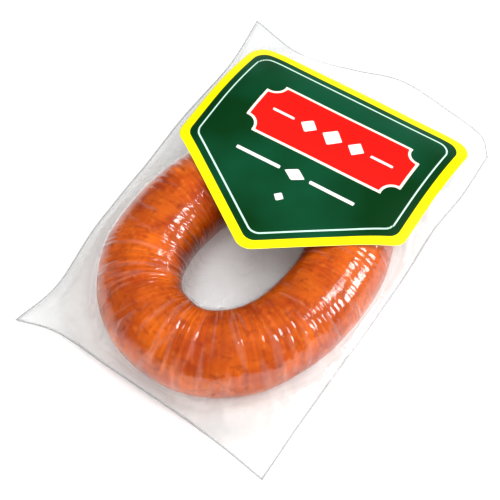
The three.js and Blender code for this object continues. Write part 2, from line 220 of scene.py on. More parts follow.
# %% Colours and nodes
def colour(code):
    """Linear red, green, blue and alpha of an sRGB hex colour."""
    channels = [int(code[i : i + 2], 16) / 255 for i in (1, 3, 5)]
    linear = [c / 12.92 if c <= 0.04045 else ((c + 0.055) / 1.055) ** 2.4 for c in channels]
    return (*linear, 1.0)


def add(tree, kind, inputs=None, **settings):
    """Adds a node to a tree. Inputs are named or numbered, and take a value or another node's output."""
    made = tree.nodes.new(kind)
    for key, value in settings.items():
        setattr(made, key, value)
    for socket, value in (inputs or {}).items():
        if isinstance(value, bpy.types.NodeSocket):
            tree.links.new(value, made.inputs[socket])
        else:
            made.inputs[socket].default_value = value
    return made


def new_material(name):
    """An empty node material and its tree, with the output node ready to be linked."""
    material = bpy.data.materials.new(name)
    material.use_nodes = True
    tree = material.node_tree
    tree.nodes.clear()
    return material, tree


# %% [markdown]
# ## The casing
# Smoked sausage casing is a thin collagen skin over coarse meat. Smoke leaves it orange brown, darker in
# blotches about a centimetre wide, and the red meat and pale fat show through as spots of 2 to 5 mm. It has
# dried, so it is drawn into fine wrinkles across the sausage. The pattern follows the sausage round its
# bend, so it reads a point attribute that holds the place on a sausage laid out straight.

# %% Smoked casing
def smoked_casing():
    """Collagen casing, stuffed, dried and smoked: satin, mottled, finely wrinkled across."""
    material, tree = new_material("smoked_collagen_casing")
    place = add(tree, "ShaderNodeAttribute", attribute_name="straight").outputs["Vector"]
    # A scale of 70 to the metre gives blotches about 14 mm apart, 260 meat about 4 mm, 240 fat about 4 mm.
    # The wrinkles come about 1.5 mm apart along the sausage and reach about 14 mm across it.
    blotch = add(tree, "ShaderNodeTexNoise", {"Vector": place, "Scale": 70, "Detail": 3}).outputs[0]
    meat = add(tree, "ShaderNodeTexNoise", {"Vector": place, "Scale": 260, "Detail": 4, "Roughness": 0.62})
    fat = add(tree, "ShaderNodeTexVoronoi", {"Vector": place, "Scale": 240, "Randomness": 1.0})
    drawn_out = add(tree, "ShaderNodeMapping", {"Vector": place, "Scale": (650, 70, 70)}).outputs[0]
    across = add(tree, "ShaderNodeTexNoise", {"Vector": drawn_out, "Scale": 1.0, "Detail": 3}).outputs[0]
    limits = {"Value": blotch, "From Min": 0.33, "From Max": 0.68}
    share = add(tree, "ShaderNodeMapRange", limits).outputs[0]
    pair = {0: share, 6: colour("#b84204"), 7: colour("#f0700c")}
    smoke = add(tree, "ShaderNodeMix", pair, data_type="RGBA").outputs[2]
    limits = {"Value": meat.outputs[0], "From Min": 0.52, "From Max": 0.7, "To Min": 0.0, "To Max": 0.6}
    share = add(tree, "ShaderNodeMapRange", limits).outputs[0]
    pair = {0: share, 6: smoke, 7: colour("#8f2a02")}
    flesh = add(tree, "ShaderNodeMix", pair, data_type="RGBA").outputs[2]
    limits = {"Value": fat.outputs["Distance"], "From Min": 0.1, "From Max": 0.34}
    limits.update({"To Min": 0.38, "To Max": 0.0})
    specks = add(tree, "ShaderNodeMapRange", limits).outputs[0]
    pair = {0: specks, 6: flesh, 7: colour("#e8802a")}
    fatty = add(tree, "ShaderNodeMix", pair, data_type="RGBA").outputs[2]
    limits = {"Value": across, "From Min": 0.5, "From Max": 0.75, "To Min": 0.0, "To Max": 0.4}
    share = add(tree, "ShaderNodeMapRange", limits).outputs[0]
    pair = {0: share, 6: fatty, 7: colour("#8a2a02")}
    skin = add(tree, "ShaderNodeMix", pair, data_type="RGBA").outputs[2]
    # Painted shade: the casing is darkened towards #661902 on the ring's inner side facing the hole, towards
    # the tied ends under the label, and in the furrows between its wrinkles and in the puckers.
    painted_shade_share = add(tree, "ShaderNodeAttribute", attribute_name="shade").outputs["Fac"]
    pair = {0: painted_shade_share, 6: skin, 7: colour("#661902")}
    skin = add(tree, "ShaderNodeMix", pair, data_type="RGBA").outputs[2]
    height = add(tree, "ShaderNodeMath", {0: across, 1: meat.outputs[0]}, operation="ADD").outputs[0]
    relief_inputs = {"Height": height, "Strength": 0.35, "Distance": 0.0006}
    relief = add(tree, "ShaderNodeBump", relief_inputs).outputs[0]
    inputs = {"Base Color": skin, "Roughness": 0.42, "Specular IOR Level": 0.12, "Normal": relief}
    shader = add(tree, "ShaderNodeBsdfPrincipled", inputs).outputs[0]
    add(tree, "ShaderNodeOutputMaterial", {"Surface": shader})
    return material


# %% [markdown]
# ## The film
# The pouch is clear polyamide and polyethylene film about a tenth of a millimetre thick. It shows what is
# behind it, mirrors about three parts in a hundred of the light from each face when seen straight on and
# far more at a glancing angle, and adds a little milkiness where it hangs free. Where it lies wet on the
# meat it adds almost none. So thin a sheet needs no refraction, so it is a plain see-through shader, with
# the mirror and the milkiness mixed in.

# %% Clear film
SEAL_WIDTH = 7.4  # of the faint ribs along the edge, in mm
SEAL_RIB = 1.4  # from one rib to the next


def clear_film():
    """Blown polyamide and polyethylene film: glossy, see-through, milky where it is loose."""
    material, tree = new_material("clear_vacuum_film")
    place = add(tree, "ShaderNodeTexCoord").outputs["Object"]
    loose = add(tree, "ShaderNodeAttribute", attribute_name="loose").outputs["Fac"]
    seal = add(tree, "ShaderNodeAttribute", attribute_name="seal").outputs["Fac"]
    facing = add(tree, "ShaderNodeLayerWeight", {"Blend": 0.5}).outputs["Facing"]
    glancing = add(tree, "ShaderNodeMath", {0: facing, 1: 5.0}, operation="POWER").outputs[0]
    limits = {"Value": glancing, "From Min": 0.0, "From Max": 1.0, "To Min": 0.03, "To Max": 0.55}
    mirror = add(tree, "ShaderNodeMapRange", limits).outputs[0]
    # 120 to the metre: the milkiness comes and goes about every 8 mm.
    cloud = add(tree, "ShaderNodeTexNoise", {"Vector": place, "Scale": 120, "Detail": 4}).outputs[0]
    limits = {"Value": cloud, "From Min": 0.3, "From Max": 0.7, "To Min": 0.75, "To Max": 1.25}
    patches = add(tree, "ShaderNodeMapRange", limits).outputs[0]
    limits = {"Value": loose, "From Min": 0.0, "From Max": 1.0, "To Min": 0.0, "To Max": 0.14}
    milk = add(tree, "ShaderNodeMapRange", limits).outputs[0]
    milk = add(tree, "ShaderNodeMath", {0: milk, 1: patches}, operation="MULTIPLY").outputs[0]
    limits = {"Value": facing, "From Min": 0.3, "From Max": 0.95, "To Min": 1.0, "To Max": 2.4}
    steep = add(tree, "ShaderNodeMapRange", limits).outputs[0]
    milk = add(tree, "ShaderNodeMath", {0: milk, 1: steep}, operation="MULTIPLY").outputs[0]
    limits = {"Value": seal, "From Min": 0.3, "From Max": 1.1, "To Min": 1.0, "To Max": 0.0}
    cut = add(tree, "ShaderNodeMapRange", limits).outputs[0]
    limits = {"Value": cut, "From Min": 0.0, "From Max": 1.0, "To Min": milk, "To Max": 0.4}
    milk = add(tree, "ShaderNodeMapRange", limits).outputs[0]
    pair = {0: cut, 6: colour("#f3f1ee"), 7: colour("#a9adad")}
    tint = add(tree, "ShaderNodeMix", pair, data_type="RGBA").outputs[2]
    # 420 to the metre: crinkles about 2.4 mm apart. The finest of real film are too fine to show.
    crinkle = add(tree, "ShaderNodeTexNoise", {"Vector": place, "Scale": 420, "Detail": 3}).outputs[0]
    ribs = add(tree, "ShaderNodeMath", {0: seal, 1: 2 * math.pi / SEAL_RIB}, operation="MULTIPLY").outputs[0]
    ribs = add(tree, "ShaderNodeMath", {0: ribs}, operation="SINE").outputs[0]
    limits = {"Value": seal, "From Min": SEAL_WIDTH, "From Max": SEAL_WIDTH + 0.4}
    limits.update({"To Min": 0.35, "To Max": 0.0})
    in_seal = add(tree, "ShaderNodeMapRange", limits).outputs[0]
    ribs = add(tree, "ShaderNodeMath", {0: ribs, 1: in_seal}, operation="MULTIPLY").outputs[0]
    height = add(tree, "ShaderNodeMath", {0: crinkle, 1: ribs}, operation="ADD").outputs[0]
    relief_inputs = {"Height": height, "Strength": 0.25, "Distance": 0.0004}
    relief = add(tree, "ShaderNodeBump", relief_inputs).outputs[0]
    clear = add(tree, "ShaderNodeBsdfTransparent", {"Color": (0.99, 0.992, 0.992, 1.0)}).outputs[0]
    milky_inputs = {"Base Color": tint, "Roughness": 0.6, "Normal": relief}
    milky = add(tree, "ShaderNodeBsdfPrincipled", milky_inputs).outputs[0]
    body = add(tree, "ShaderNodeMixShader", {0: milk, 1: clear, 2: milky}).outputs[0]
    gloss_inputs = {"Color": (1, 1, 1, 1), "Roughness": 0.09, "Normal": relief}
    gloss = add(tree, "ShaderNodeBsdfAnisotropic", gloss_inputs).outputs[0]
    surface = add(tree, "ShaderNodeMixShader", {0: mirror, 1: body, 2: gloss}).outputs[0]
    add(tree, "ShaderNodeOutputMaterial", {"Surface": surface})
    return material


# %% [markdown]
# ## The sausage
# It is a tube carried along the ring: the first parameter runs along the centre line from one tail to the
# other, the second round the section. The radius follows the two rounded ends down to their necks and out
# again into the gathered tails, slow lumps make it hand made, and the underside is pressed flat where it
# lies. A tube made by a modifier could not have the ends, the flat and the wrinkles in one skin.

# %% Ends of the sausage
SHOULDER = 29.0  # distances from where the ends meet
NECK = 12.5
TAIL_START = 5.5
TAIL_TIP = -1.0
NECK_RADIUS = 2.6
TAIL_RADIUS = 3.6
SIDEWAYS = 4.6


def end_radius(distance):
    """Radius by distance from the meeting point: full past the shoulder, a quarter of an ellipse down to the
    neck, straight through the clip, and flaring a little into the tail."""
    dome = TUBE * np.sqrt(np.clip(1 - ((SHOULDER - distance) / (SHOULDER - NECK)) ** 2, 0, 1))
    body = np.where(distance > SHOULDER, TUBE, np.where(distance > NECK, np.maximum(dome, NECK_RADIUS), 0))
    tail = NECK_RADIUS + (TAIL_RADIUS - NECK_RADIUS) * ramp(distance, TAIL_START, TAIL_TIP + 1)
    return np.where(distance > NECK, body, tail)


def lumps(along, angle):
    """Slow hand-stuffed lumps of the sausage, in mm. The film follows them."""
    return 0.3 * waves(along, angle, 24, 80, 22, 3, seed=11)


def wrinkles(along, angle):
    """Fine wrinkles across the sausage, 0 to 1: sharp little crests wherever a wave passes through nothing,
    and patches where they are deep or nearly gone. The film that is drawn on to them shows the same."""
    crests = (1 - np.abs(waves(along, angle, 3.4, 8.0, 34, 2, seed=12))) ** 2
    patches = np.clip(0.5 + 0.85 * waves(along, angle, 16, 50, 16, 3, seed=13), 0.08, 1)
    return np.clip(crests, 0, 1) * patches


# %% The sausage's skin
HALF = RING_LENGTH / 2  # the near end of the ring, opposite the clips
puckers = crease_family(23, 90, (HALF - 66, HALF + 66), (-42, -22), (12, 30), (0.5, 0.85), (0.2, 0.5), 0.18)
SAUSAGE_STEPS = 1030
SAUSAGE_SIDES = 96
SKIN_GAP = 0.3  # between the sausage's greatest radius and the film


def make_sausage(material):
    """Rows run along the sausage, columns round it, starting outwards and going over the top."""
    shares = np.linspace(0, 1, SAUSAGE_STEPS)
    along = (TAIL_TIP + shares * (RING_LENGTH - 2 * TAIL_TIP))[:, None]
    angle = (np.arange(SAUSAGE_SIDES) * 2 * math.pi / SAUSAGE_SIDES)[None, :]
    distance = np.minimum(along, RING_LENGTH - along)
    side = np.where(along < RING_LENGTH / 2, 1.0, -1.0)
    full = ramp(distance, NECK, SHOULDER)
    radius = end_radius(distance) - full * SKIN_GAP
    gathers = np.cos(11 * angle + 0.35 * distance) * ramp(distance, SHOULDER - 4, NECK)
    radius = radius * (1 + 0.07 * gathers) + full * lumps(along, angle)
    turned = np.mod(angle + math.pi / 2, 2 * math.pi) - math.pi
    pucker = crease_height(along, -TUBE * turned, puckers)
    radius = radius + full * (0.24 * wrinkles(along, angle) - 0.5 * pucker)
    sideways = side * SIDEWAYS * (1 - ramp(distance, NECK + 1, SHOULDER - 3))
    point, _, outward = stations(along[:, 0])
    reach = sideways + radius * np.cos(angle)
    height = np.maximum(radius * np.sin(angle), PRESSED - TUBE)
    flat_place = point[:, None, :] + outward[:, None, :] * reach[..., None]
    grid = np.concatenate([flat_place, (AXIS_Z + height)[..., None]], axis=-1)
    points, faces = closed_tube(grid)
    straight = np.stack(np.broadcast_arrays(along, TUBE * np.cos(angle), TUBE * np.sin(angle)), -1)
    straight = np.concatenate([straight.reshape(-1, 3), np.zeros((2, 3))]) * MM
    # Painted shade, kept as the shade attribute: darker on the inner side of the ring that faces the hole,
    # darker towards the tied ends under the label, and darker in the furrows between the fine wrinkles and in
    # the puckers. The two middle points of the ends take the ends' painted shade.
    inner_side_shade = ramp(np.cos(angle), -0.45, -1.0) * ramp(np.sin(angle), 0.75, 0.1)
    furrow_shade = 0.36 * (1 - wrinkles(along, angle)) + 0.7 * pucker
    shade = 0.5 * inner_side_shade + 0.45 * ramp(distance, SHOULDER, NECK) + furrow_shade
    shade = np.clip(shade, 0, 0.9)
    shade = np.concatenate([shade.ravel(), [0.45, 0.45]])
    layers = {"straight": straight, "shade": shade}
    return build_piece("ring_sausage", points, faces, layers, [material])


sausage = make_sausage(smoked_casing())
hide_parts("sausage")
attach(sausage, "root")

# %% [markdown]
# ## The clips
# Each end is closed by a clip of soft aluminium wire, bent round the neck and crimped until its two legs
# cross. It is a flat bar with rounded edges carried round a ring that is almost closed, so it is a grid
# again: one parameter round the neck and one round the bar.

# %% Clip metal
def clip_aluminium():
    """Soft aluminium wire, drawn and then crimped: satin, with faint lines along the drawing."""
    material, tree = new_material("crimped_aluminium_wire")
    place = add(tree, "ShaderNodeTexCoord").outputs["Object"]
    # The lines of drawn wire are too fine to show, so patches about 1.1 mm apart stand for them.
    lines = add(tree, "ShaderNodeTexNoise", {"Vector": place, "Scale": 900, "Detail": 3}).outputs[0]
    limits = {"Value": lines, "From Min": 0.3, "From Max": 0.7, "To Min": 0.26, "To Max": 0.42}
    rough = add(tree, "ShaderNodeMapRange", limits).outputs[0]
    relief_inputs = {"Height": lines, "Strength": 0.2, "Distance": 0.0001}
    relief = add(tree, "ShaderNodeBump", relief_inputs).outputs[0]
    inputs = {"Base Color": colour("#c3c6c8"), "Metallic": 1.0, "Roughness": rough, "Normal": relief}
    shader = add(tree, "ShaderNodeBsdfPrincipled", inputs).outputs[0]
    add(tree, "ShaderNodeOutputMaterial", {"Surface": shader})
    return material


# %% The two clips
CLIP_AT = 9.0
CLIP_OPENING = math.radians(14)
CLIP_BAR = (0.7, 1.3)  # half sizes of the bar: away from the neck, and along it
CLIP_RADIUS = 3.62  # of the middle of the bar round the neck
CLIP_SQUARENESS = 0.55  # 1 is a round bar
CLIP_STEPS = 96
CLIP_SIDES = 20


def squared(wave):
    """A sine or cosine with its shoulders raised, which makes a round bar squarer."""
    return np.sign(wave) * np.abs(wave) ** CLIP_SQUARENESS


def make_clip(name, side, material):
    """Rows run round the neck from one leg to the other, columns round the bar, a squared circle."""
    turn = np.linspace(CLIP_OPENING, 2 * math.pi - CLIP_OPENING, CLIP_STEPS)[:, None]
    around = (np.arange(CLIP_SIDES) * 2 * math.pi / CLIP_SIDES)[None, :]
    leg = ramp(np.abs(turn - math.pi), math.pi - 0.9, math.pi - 0.3)
    middle = CLIP_RADIUS + 0.1 * np.cos(4 * turn)
    away = middle + CLIP_BAR[0] * squared(np.cos(around)) * (1 - 0.2 * leg)
    lean = 0.5 * leg * np.sign(turn - math.pi)
    axial = (CLIP_BAR[1] - 0.35 * leg) * squared(np.sin(around)) + lean
    point, along, outward = stations(np.array([side * CLIP_AT]))
    centre = np.append(point[0] + side * SIDEWAYS * outward[0], AXIS_Z)
    along = np.append(along[0], 0.0)
    outward = np.append(outward[0], 0.0)
    upward = np.array([0.0, 0.0, 1.0])
    radial = np.cos(turn)[..., None] * upward + np.sin(turn)[..., None] * outward
    grid = centre + away[..., None] * radial + axial[..., None] * along
    points, faces = closed_tube(grid)
    return build_piece(name, points, faces, {}, [material])


wire = clip_aluminium()
for name, side in (("clip_left", 1), ("clip_right", -1)):
    clip = make_clip(name, side, wire)
    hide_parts("end_" + name)
    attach(clip, "root")

# %% [markdown]
# ## The label's place
# The label is made after the film, but the film has to know where it is: the border is held up by it at the
# far end, and nothing may poke through it. It lies flat over the crest of the sausage, and curls down
# behind it and a little at both sides.

# %% Where the label lies
LABEL_AT = np.array([10.35, 6.8])  # middle of its widest line
LABEL_TURN = math.radians(2.3)
LABEL_HALF_WIDTH = 61.5
LABEL_ABOVE = 73.7
LABEL_POINT = 42.2
LABEL_SLANT = math.hypot(LABEL_HALF_WIDTH, LABEL_POINT)
LABEL_CORNER = 8.0
LABEL_THICK = 0.2
LABEL_CREST = AXIS_Z + TUBE + 0.85  # its middle height where it lies flat
FLAT_TO_Y = 28  # the label is flat up to this y and curls beyond it
FLAT_TO_RIGHT = 52
FLAT_TO_LEFT = -33
CURL_RADIUS = 108
DROOP_RADIUS = 60


def label_height(x, y):
    """Height of the middle of the label: its crest, less half the squared distance past each edge of the
    flat part over the radius that it curls with there."""
    curl = np.clip(y - FLAT_TO_Y, 0, None) ** 2 / (2 * CURL_RADIUS)
    past_sides = np.clip(x - FLAT_TO_RIGHT, 0, None) ** 2 + np.clip(FLAT_TO_LEFT - x, 0, None) ** 2
    droop = past_sides / (2 * DROOP_RADIUS)
    return LABEL_CREST - curl - droop


def label_place(x, y):
    """The label's own coordinates of a point: across it, and up it from its widest line."""
    dx, dy = x - LABEL_AT[0], y - LABEL_AT[1]
    c, s = math.cos(LABEL_TURN), math.sin(LABEL_TURN)
    return dx * c + dy * s, dy * c - dx * s


def shield_distance(u, v, inset, corner):
    """Signed distance, negative inside, from the label's outline moved inwards by inset, with its corners
    rounded to a radius: the greatest distance past its top, side and slanting lines, less the radius."""
    shrink = inset + corner
    normal = np.array([LABEL_POINT, -LABEL_HALF_WIDTH]) / LABEL_SLANT
    sides = np.stack([
        np.abs(u) - (LABEL_HALF_WIDTH - shrink),
        v - (LABEL_ABOVE - shrink),
        (np.abs(u) * normal[0] + v * normal[1]) - (LABEL_POINT * LABEL_HALF_WIDTH / LABEL_SLANT - shrink),
    ])
    side, top, point = sides
    inside = np.minimum(sides.max(0), 0)
    corner_top = np.hypot(np.maximum(side, 0), np.maximum(top, 0))
    low = -LABEL_POINT + shrink * LABEL_SLANT / LABEL_HALF_WIDTH
    wide = LABEL_HALF_WIDTH - shrink
    shoulder = low + wide * LABEL_POINT / LABEL_HALF_WIDTH
    at_shoulder = np.hypot(np.abs(u) - wide, v - shoulder)
    at_tip = np.hypot(u, v - low)
    inwards = (wide - np.abs(u)) * LABEL_HALF_WIDTH / LABEL_SLANT
    along_slant = inwards + (shoulder - v) * LABEL_POINT / LABEL_SLANT
    whole = math.hypot(wide, shoulder - low)
    lower = np.where(along_slant > whole, at_tip, np.maximum(point, 0))
    lower = np.where(along_slant < 0, at_shoulder, lower)
    outside = np.where((v < shoulder) | (point > np.maximum(side, 0)), lower, corner_top)
    outside = np.where(sides.max(0) <= 0, 0, outside)
    return outside + inside - corner


# %% [markdown]
# ## The edge of the pouch
# The pouch was cut as a rectangle, and drawing the air out has pulled its sides into shallow waves. The edge
# is four smooth curves, each through a few chosen points with their heights, meeting in four sharp corners.

# %% The edge of the pouch
BOTTOM_LEFT = (-67.8, -106.7, 1.2)
BOTTOM_RIGHT = (74.2, -109.6, 1.6)
TOP_RIGHT = (72.0, 97.0, 6.0)
TOP_LEFT = (-75.0, 108.8, 2.4)
RIGHT = ((74.4, -80, 6), (74.8, -48, 8.6), (74.8, -15, 9), (74, 16, 8), (72, 44, 7), (73.6, 68, 7.6))
TOP = ((63, 105.6, 8), (42, 108.6, 10), (14, 109.3, 13), (-12, 105.4, 8), (-40, 101.2, 3.5))
LEFT = ((-69.2, 74, 4.6), (-68.4, 30, 7), (-66.4, -6, 8), (-65.6, -48, 6.4), (-62, -82, 4))
BOTTOM = ((-46, -102, 3.4), (-14, -104, 5.4), (22, -105.4, 5.2), (50, -107, 3.6))
EDGES = (
    (BOTTOM_RIGHT, *RIGHT, TOP_RIGHT),
    (TOP_RIGHT, *TOP, TOP_LEFT),
    (TOP_LEFT, *LEFT, BOTTOM_LEFT),
    (BOTTOM_LEFT, *BOTTOM, BOTTOM_RIGHT),
)


def smooth_through(points, steps):
    """Catmull-Rom curve: between two points, a cubic that leaves each along the line of its neighbours."""
    p = np.array(points, float)
    p = np.concatenate([2 * p[:1] - p[1:2], p, 2 * p[-1:] - p[-2:-1]])
    t = np.linspace(0, 1, steps, endpoint=False)[None, :, None]
    a, b, c, d = (p[k : len(p) - 3 + k][:, None, :] for k in range(4))
    curve = b + t * (c - a) / 2 + t**2 * (2 * a - 5 * b + 4 * c - d) / 2 + t**3 * (3 * b - a - 3 * c + d) / 2
    return curve.reshape(-1, 3)


edge_line = np.concatenate([smooth_through(points, 24) for points in EDGES])
edge_next = np.roll(edge_line, -1, axis=0)


def edge_beyond(point, outward):
    """Where the line from each point straight outwards crosses the pouch's edge: the piece of the edge whose
    two ends lie on either side of that line, and in front of it."""
    def sideways(ends):
        reach = ends[None, :, :2] - point[:, None, :]
        left = outward[:, None, 0] * reach[..., 1] - outward[:, None, 1] * reach[..., 0]
        return left, (reach * outward[:, None, :]).sum(-1)

    before, ahead = sideways(edge_line)
    after, _ = sideways(edge_next)
    piece = np.argmax((before <= 0) & (after > 0) & (ahead > 0), axis=1)
    rows = np.arange(len(point))
    share = (-before[rows, piece] / (after - before)[rows, piece])[:, None]
    return edge_line[piece] * (1 - share) + edge_next[piece] * share


def edge_distance(points):
    """Distance of each point from the edge in plan, from the nearest piece of it."""
    start, step = edge_line[:, :2], (edge_next - edge_line)[:, :2]
    reach = points[..., None, :2] - start
    share = np.clip((reach * step).sum(-1) / (step**2).sum(-1), 0, 1)
    return np.linalg.norm(reach - share[..., None] * step, axis=-1).min(-1)


# %% [markdown]
# The columns of the film's grid stand on the ring's centre line and run straight outwards. One is moved to
# point at each corner of the pouch, so that the corners come out sharp.

# %% Columns of the film
FILM_COLUMNS = 880


def film_columns():
    """Lengths along the ring of the columns."""
    even = (np.arange(FILM_COLUMNS) + 0.5) * RING_LENGTH / FILM_COLUMNS
    dense = np.arange(0, RING_LENGTH, 0.02)
    point, _, outward = stations(dense)
    for corner in (BOTTOM_LEFT, BOTTOM_RIGHT, TOP_RIGHT, TOP_LEFT):
        reach = np.array(corner[:2]) - point
        left = outward[:, 0] * reach[:, 1] - outward[:, 1] * reach[:, 0]
        miss = np.where((reach * outward).sum(1) > 0, np.abs(left), np.inf)
        facing = dense[miss.argmin()]
        even[np.abs(even - facing).argmin()] = facing
    return even


column_length = film_columns()
column_point, _, column_outward = stations(column_length)
column_edge = edge_beyond(column_point, column_outward)
column_room = np.linalg.norm(column_edge[:, :2] - column_point, axis=1)
from_ends = np.minimum(column_length, RING_LENGTH - column_length)
print("border", round(column_room.min() - TUBE, 1), "to", round(column_room.max() - TUBE, 1), "mm")

# %% [markdown]
# ## The section of a film
# Cut the pack straight across the sausage and the film's cut line is simple: level across the hole, up in a
# tight turn, round the sausage as far as it is drawn on to it, off in a wider turn, and out to the edge. The
# turns are cubic curves that leave and arrive in given directions. All the columns are worked out at once.

# %% Sections
FILM = 0.1  # thickness
FILM_RADIUS = TUBE + 0.375
MEMBRANE_Z = 10.0
BORDER_Z = 12.0
BORDER_Z_AT_LABEL = 19.0
APART = 0.3  # between the middles of the two films


def turn(start, leaving, end, arriving, steps):
    """Cubic curve between two points of the section, with its handles a little over a third of the
    distance long."""
    handle = 0.36 * np.linalg.norm(end - start, axis=-1, keepdims=True)
    second, third = start + leaving * handle, end - arriving * handle
    t = np.linspace(0, 1, steps + 2)[1:-1, None, None]
    return (1 - t) ** 3 * start + 3 * t * (1 - t) ** 2 * second + 3 * t**2 * (1 - t) * third + t**3 * end


def direction(angle, sign):
    """Unit direction round the section at an angle, over the top if sign is 1 and underneath if it is -1."""
    return np.stack([sign * np.sin(angle), -sign * np.cos(angle)], axis=-1)


def film_section(first, last, sign, lift, hug_steps, turn_steps):
    """Points (outwards, up) from the membrane's rim to the border's inner rim: a row a step and a column a
    station. Between the angles first and last, in degrees, the film is drawn on to the sausage."""
    sink = 5.5 * np.cos(np.clip(from_ends / 22, 0, 1) * math.pi / 2) ** 2
    radius = FILM_RADIUS - sink
    first, last = (np.radians(np.broadcast_to(a, radius.shape)) for a in (first, last))
    share = np.linspace(0, 1, hug_steps)[:, None]
    angle = first * (1 - share) + last * share
    hug = np.stack([radius * np.cos(angle), AXIS_Z + radius * np.sin(angle)], axis=-1)
    hug[..., 1] = np.maximum(hug[..., 1], FILM / 2)
    level = np.full(radius.shape, MEMBRANE_Z + lift)
    inner = np.stack([-radius - 2.8, level], axis=-1)
    outer_reach = np.minimum(radius + 7.0, column_room - 2.2)
    leaving = BORDER_Z + (BORDER_Z_AT_LABEL - BORDER_Z) * ramp(column_outward[:, 1], 0.3, 0.9)
    foot_z = np.minimum(leaving, column_edge[:, 2] + 0.7 * (column_room - outer_reach)) + lift
    foot = np.stack([outer_reach, foot_z], axis=-1)
    outwards = np.array([1.0, 0.0])
    rise = turn(inner, outwards, hug[0], direction(first, sign), turn_steps)
    fall = turn(hug[-1], direction(last, sign), foot, outwards, turn_steps)
    axis = np.array([0.0, AXIS_Z])
    clear = np.maximum(radius[..., None] / np.linalg.norm(fall - axis, axis=-1, keepdims=True), 1.0)
    fall = axis + (fall - axis) * clear
    return np.concatenate([inner[None], rise, hug, fall, foot[None]])


# %% The whole of a film's surface
HELD_BELOW_LABEL = 0.95
HELD_LEFT = (-62, -26)  # each pair runs from where the label holds up nothing to where it holds fully
HELD_RIGHT = (72, 44)
HELD_NEAR = (50, 70)
HELD_FAR = (108, 84)


def film_grid(section, lift, membrane_steps, border_steps):
    """Rows from near the middle of the membrane to the edge. The border lies between the section's end and
    the edge, and is held up under the label."""
    middle = np.array([*RING_CENTRE, MEMBRANE_Z + lift])
    flat_place = column_point + column_outward * section[..., :1]
    body = np.concatenate([flat_place, section[..., 1:]], axis=-1)
    share = np.linspace(0, 1, membrane_steps + 1)[1:-1, None, None]
    membrane = middle * (1 - share) + body[0] * share
    share = np.append(np.linspace(0, 1, border_steps + 1)[1:-1], [0.995, 1.0])[:, None]
    rim = column_edge + np.array([0, 0, lift])
    border = body[-1] * (1 - share[..., None]) + rim * share[..., None]
    lying = body[-1, :, 2] + (rim[:, 2] - body[-1, :, 2]) * ramp(share, 0, 1)
    x, y = border[..., 0], border[..., 1]
    held = ramp(x, *HELD_LEFT) * ramp(x, *HELD_RIGHT) * ramp(y, *HELD_NEAR) * ramp(y, *HELD_FAR)
    under = label_height(x, y) - LABEL_THICK / 2 - HELD_BELOW_LABEL + lift
    border[..., 2] = lying * (1 - held) + under * held
    return middle, np.concatenate([membrane, body, border])


# %% [markdown]
# ## Creases
# Film can't shrink, so where the pack curves it gathers into creases that run across the sausage. Fine ones
# lie all over it, and break the light into short dashes. Puckers crowd round the hole, where there is most
# film to lose. Others start on the outer side and run out into the border. Their place across is measured
# over the film from the crest of the sausage, positive outwards.

# %% Families of creases
all_round = (0.0, RING_LENGTH)
front_creases = np.concatenate([
    crease_family(21, 260, all_round, (-30, 30), (6, 18), (0.5, 0.9), (0.1, 0.28), 0.35),
    crease_family(22, 70, all_round, (-24, 26), (14, 40), (0.6, 1.0), (0.2, 0.5), 0.3),
    crease_family(24, 24, (HALF - 90, HALF + 95), (20, 44), (26, 60), (0.8, 1.6), (0.35, 0.9), 0.3),
    crease_family(25, 40, all_round, (-52, -34), (10, 22), (0.7, 1.2), (0.12, 0.35), 0.2),
    crease_family(26, 11, (HALF - 48, HALF + 55), (-8, 8), (50, 74), (0.5, 0.8), (0.3, 0.55), 0.12),
    puckers,
])
back_creases = np.concatenate([
    crease_family(31, 160, all_round, (-26, 26), (6, 20), (0.6, 1.0), (0.05, 0.18), 0.3),
    crease_family(32, 40, all_round, (26, 44), (16, 44), (0.8, 1.6), (0.15, 0.5), 0.3),
])


def surface_normals(middle, grid):
    """Unit normals of the grid, pointing up where it is level: the step outwards crossed with the step
    along."""
    whole = np.concatenate([np.broadcast_to(middle, grid[:1].shape), grid])
    outwards = np.gradient(whole, axis=0)[1:]
    along = np.roll(grid, -1, axis=1) - np.roll(grid, 1, axis=1)
    normal = np.cross(outwards, along)
    return normal / np.linalg.norm(normal, axis=-1, keepdims=True)


def distance_across(grid, known_row, known):
    """Distance over the film from the top or the bottom of the sausage, negative towards the hole, added up
    from the row where it is known."""
    steps = np.linalg.norm(np.diff(grid, axis=0), axis=-1)
    total = np.concatenate([np.zeros((1, grid.shape[1])), np.cumsum(steps, axis=0)])
    return total - total[known_row] + known


# %% [markdown]
# A film is a closed skin: the surface moved half its thickness either way along its normals, and joined
# round the edge. So it is a real sheet with two faces, as the pouch is, and not a surface with nothing
# behind it.

# %% Closed skins
def skin_points(middle, grid, thickness):
    """Points of both faces, upper then lower, and then the two middle points."""
    shift = surface_normals(middle, grid) * thickness / 2
    up = np.array([0, 0, thickness / 2])
    return np.concatenate([
        (grid + shift).reshape(-1, 3), (grid - shift).reshape(-1, 3), [middle + up], [middle - up]
    ])


def on_both_faces(values, at_middle):
    """A number for every point of a closed skin: the grid's values for each face, then the middle points'."""
    return np.concatenate([values.ravel(), values.ravel(), [at_middle, at_middle]])


def skin_faces(rows, columns):
    """Faces of both sides, the strip round the edge, and the fans round the middle points."""
    count = rows * columns
    upper = grid_quads(rows, columns, wraps=True)
    lower = grid_quads(rows, columns, wraps=True, first=count)[:, ::-1]
    column = np.arange(columns)
    following = (column + 1) % columns
    rim = count - columns + column
    rim_next = count - columns + following
    strip = np.stack([rim, rim + count, rim_next + count, rim_next], -1)
    upper_middle = np.full_like(column, 2 * count)
    fans = np.concatenate([
        np.stack([upper_middle, column, following], -1),
        np.stack([upper_middle + 1, count + following, count + column], -1),
    ])
    return [np.concatenate([upper, lower, strip]), fans]


# %% The two films
film_material = clear_film()

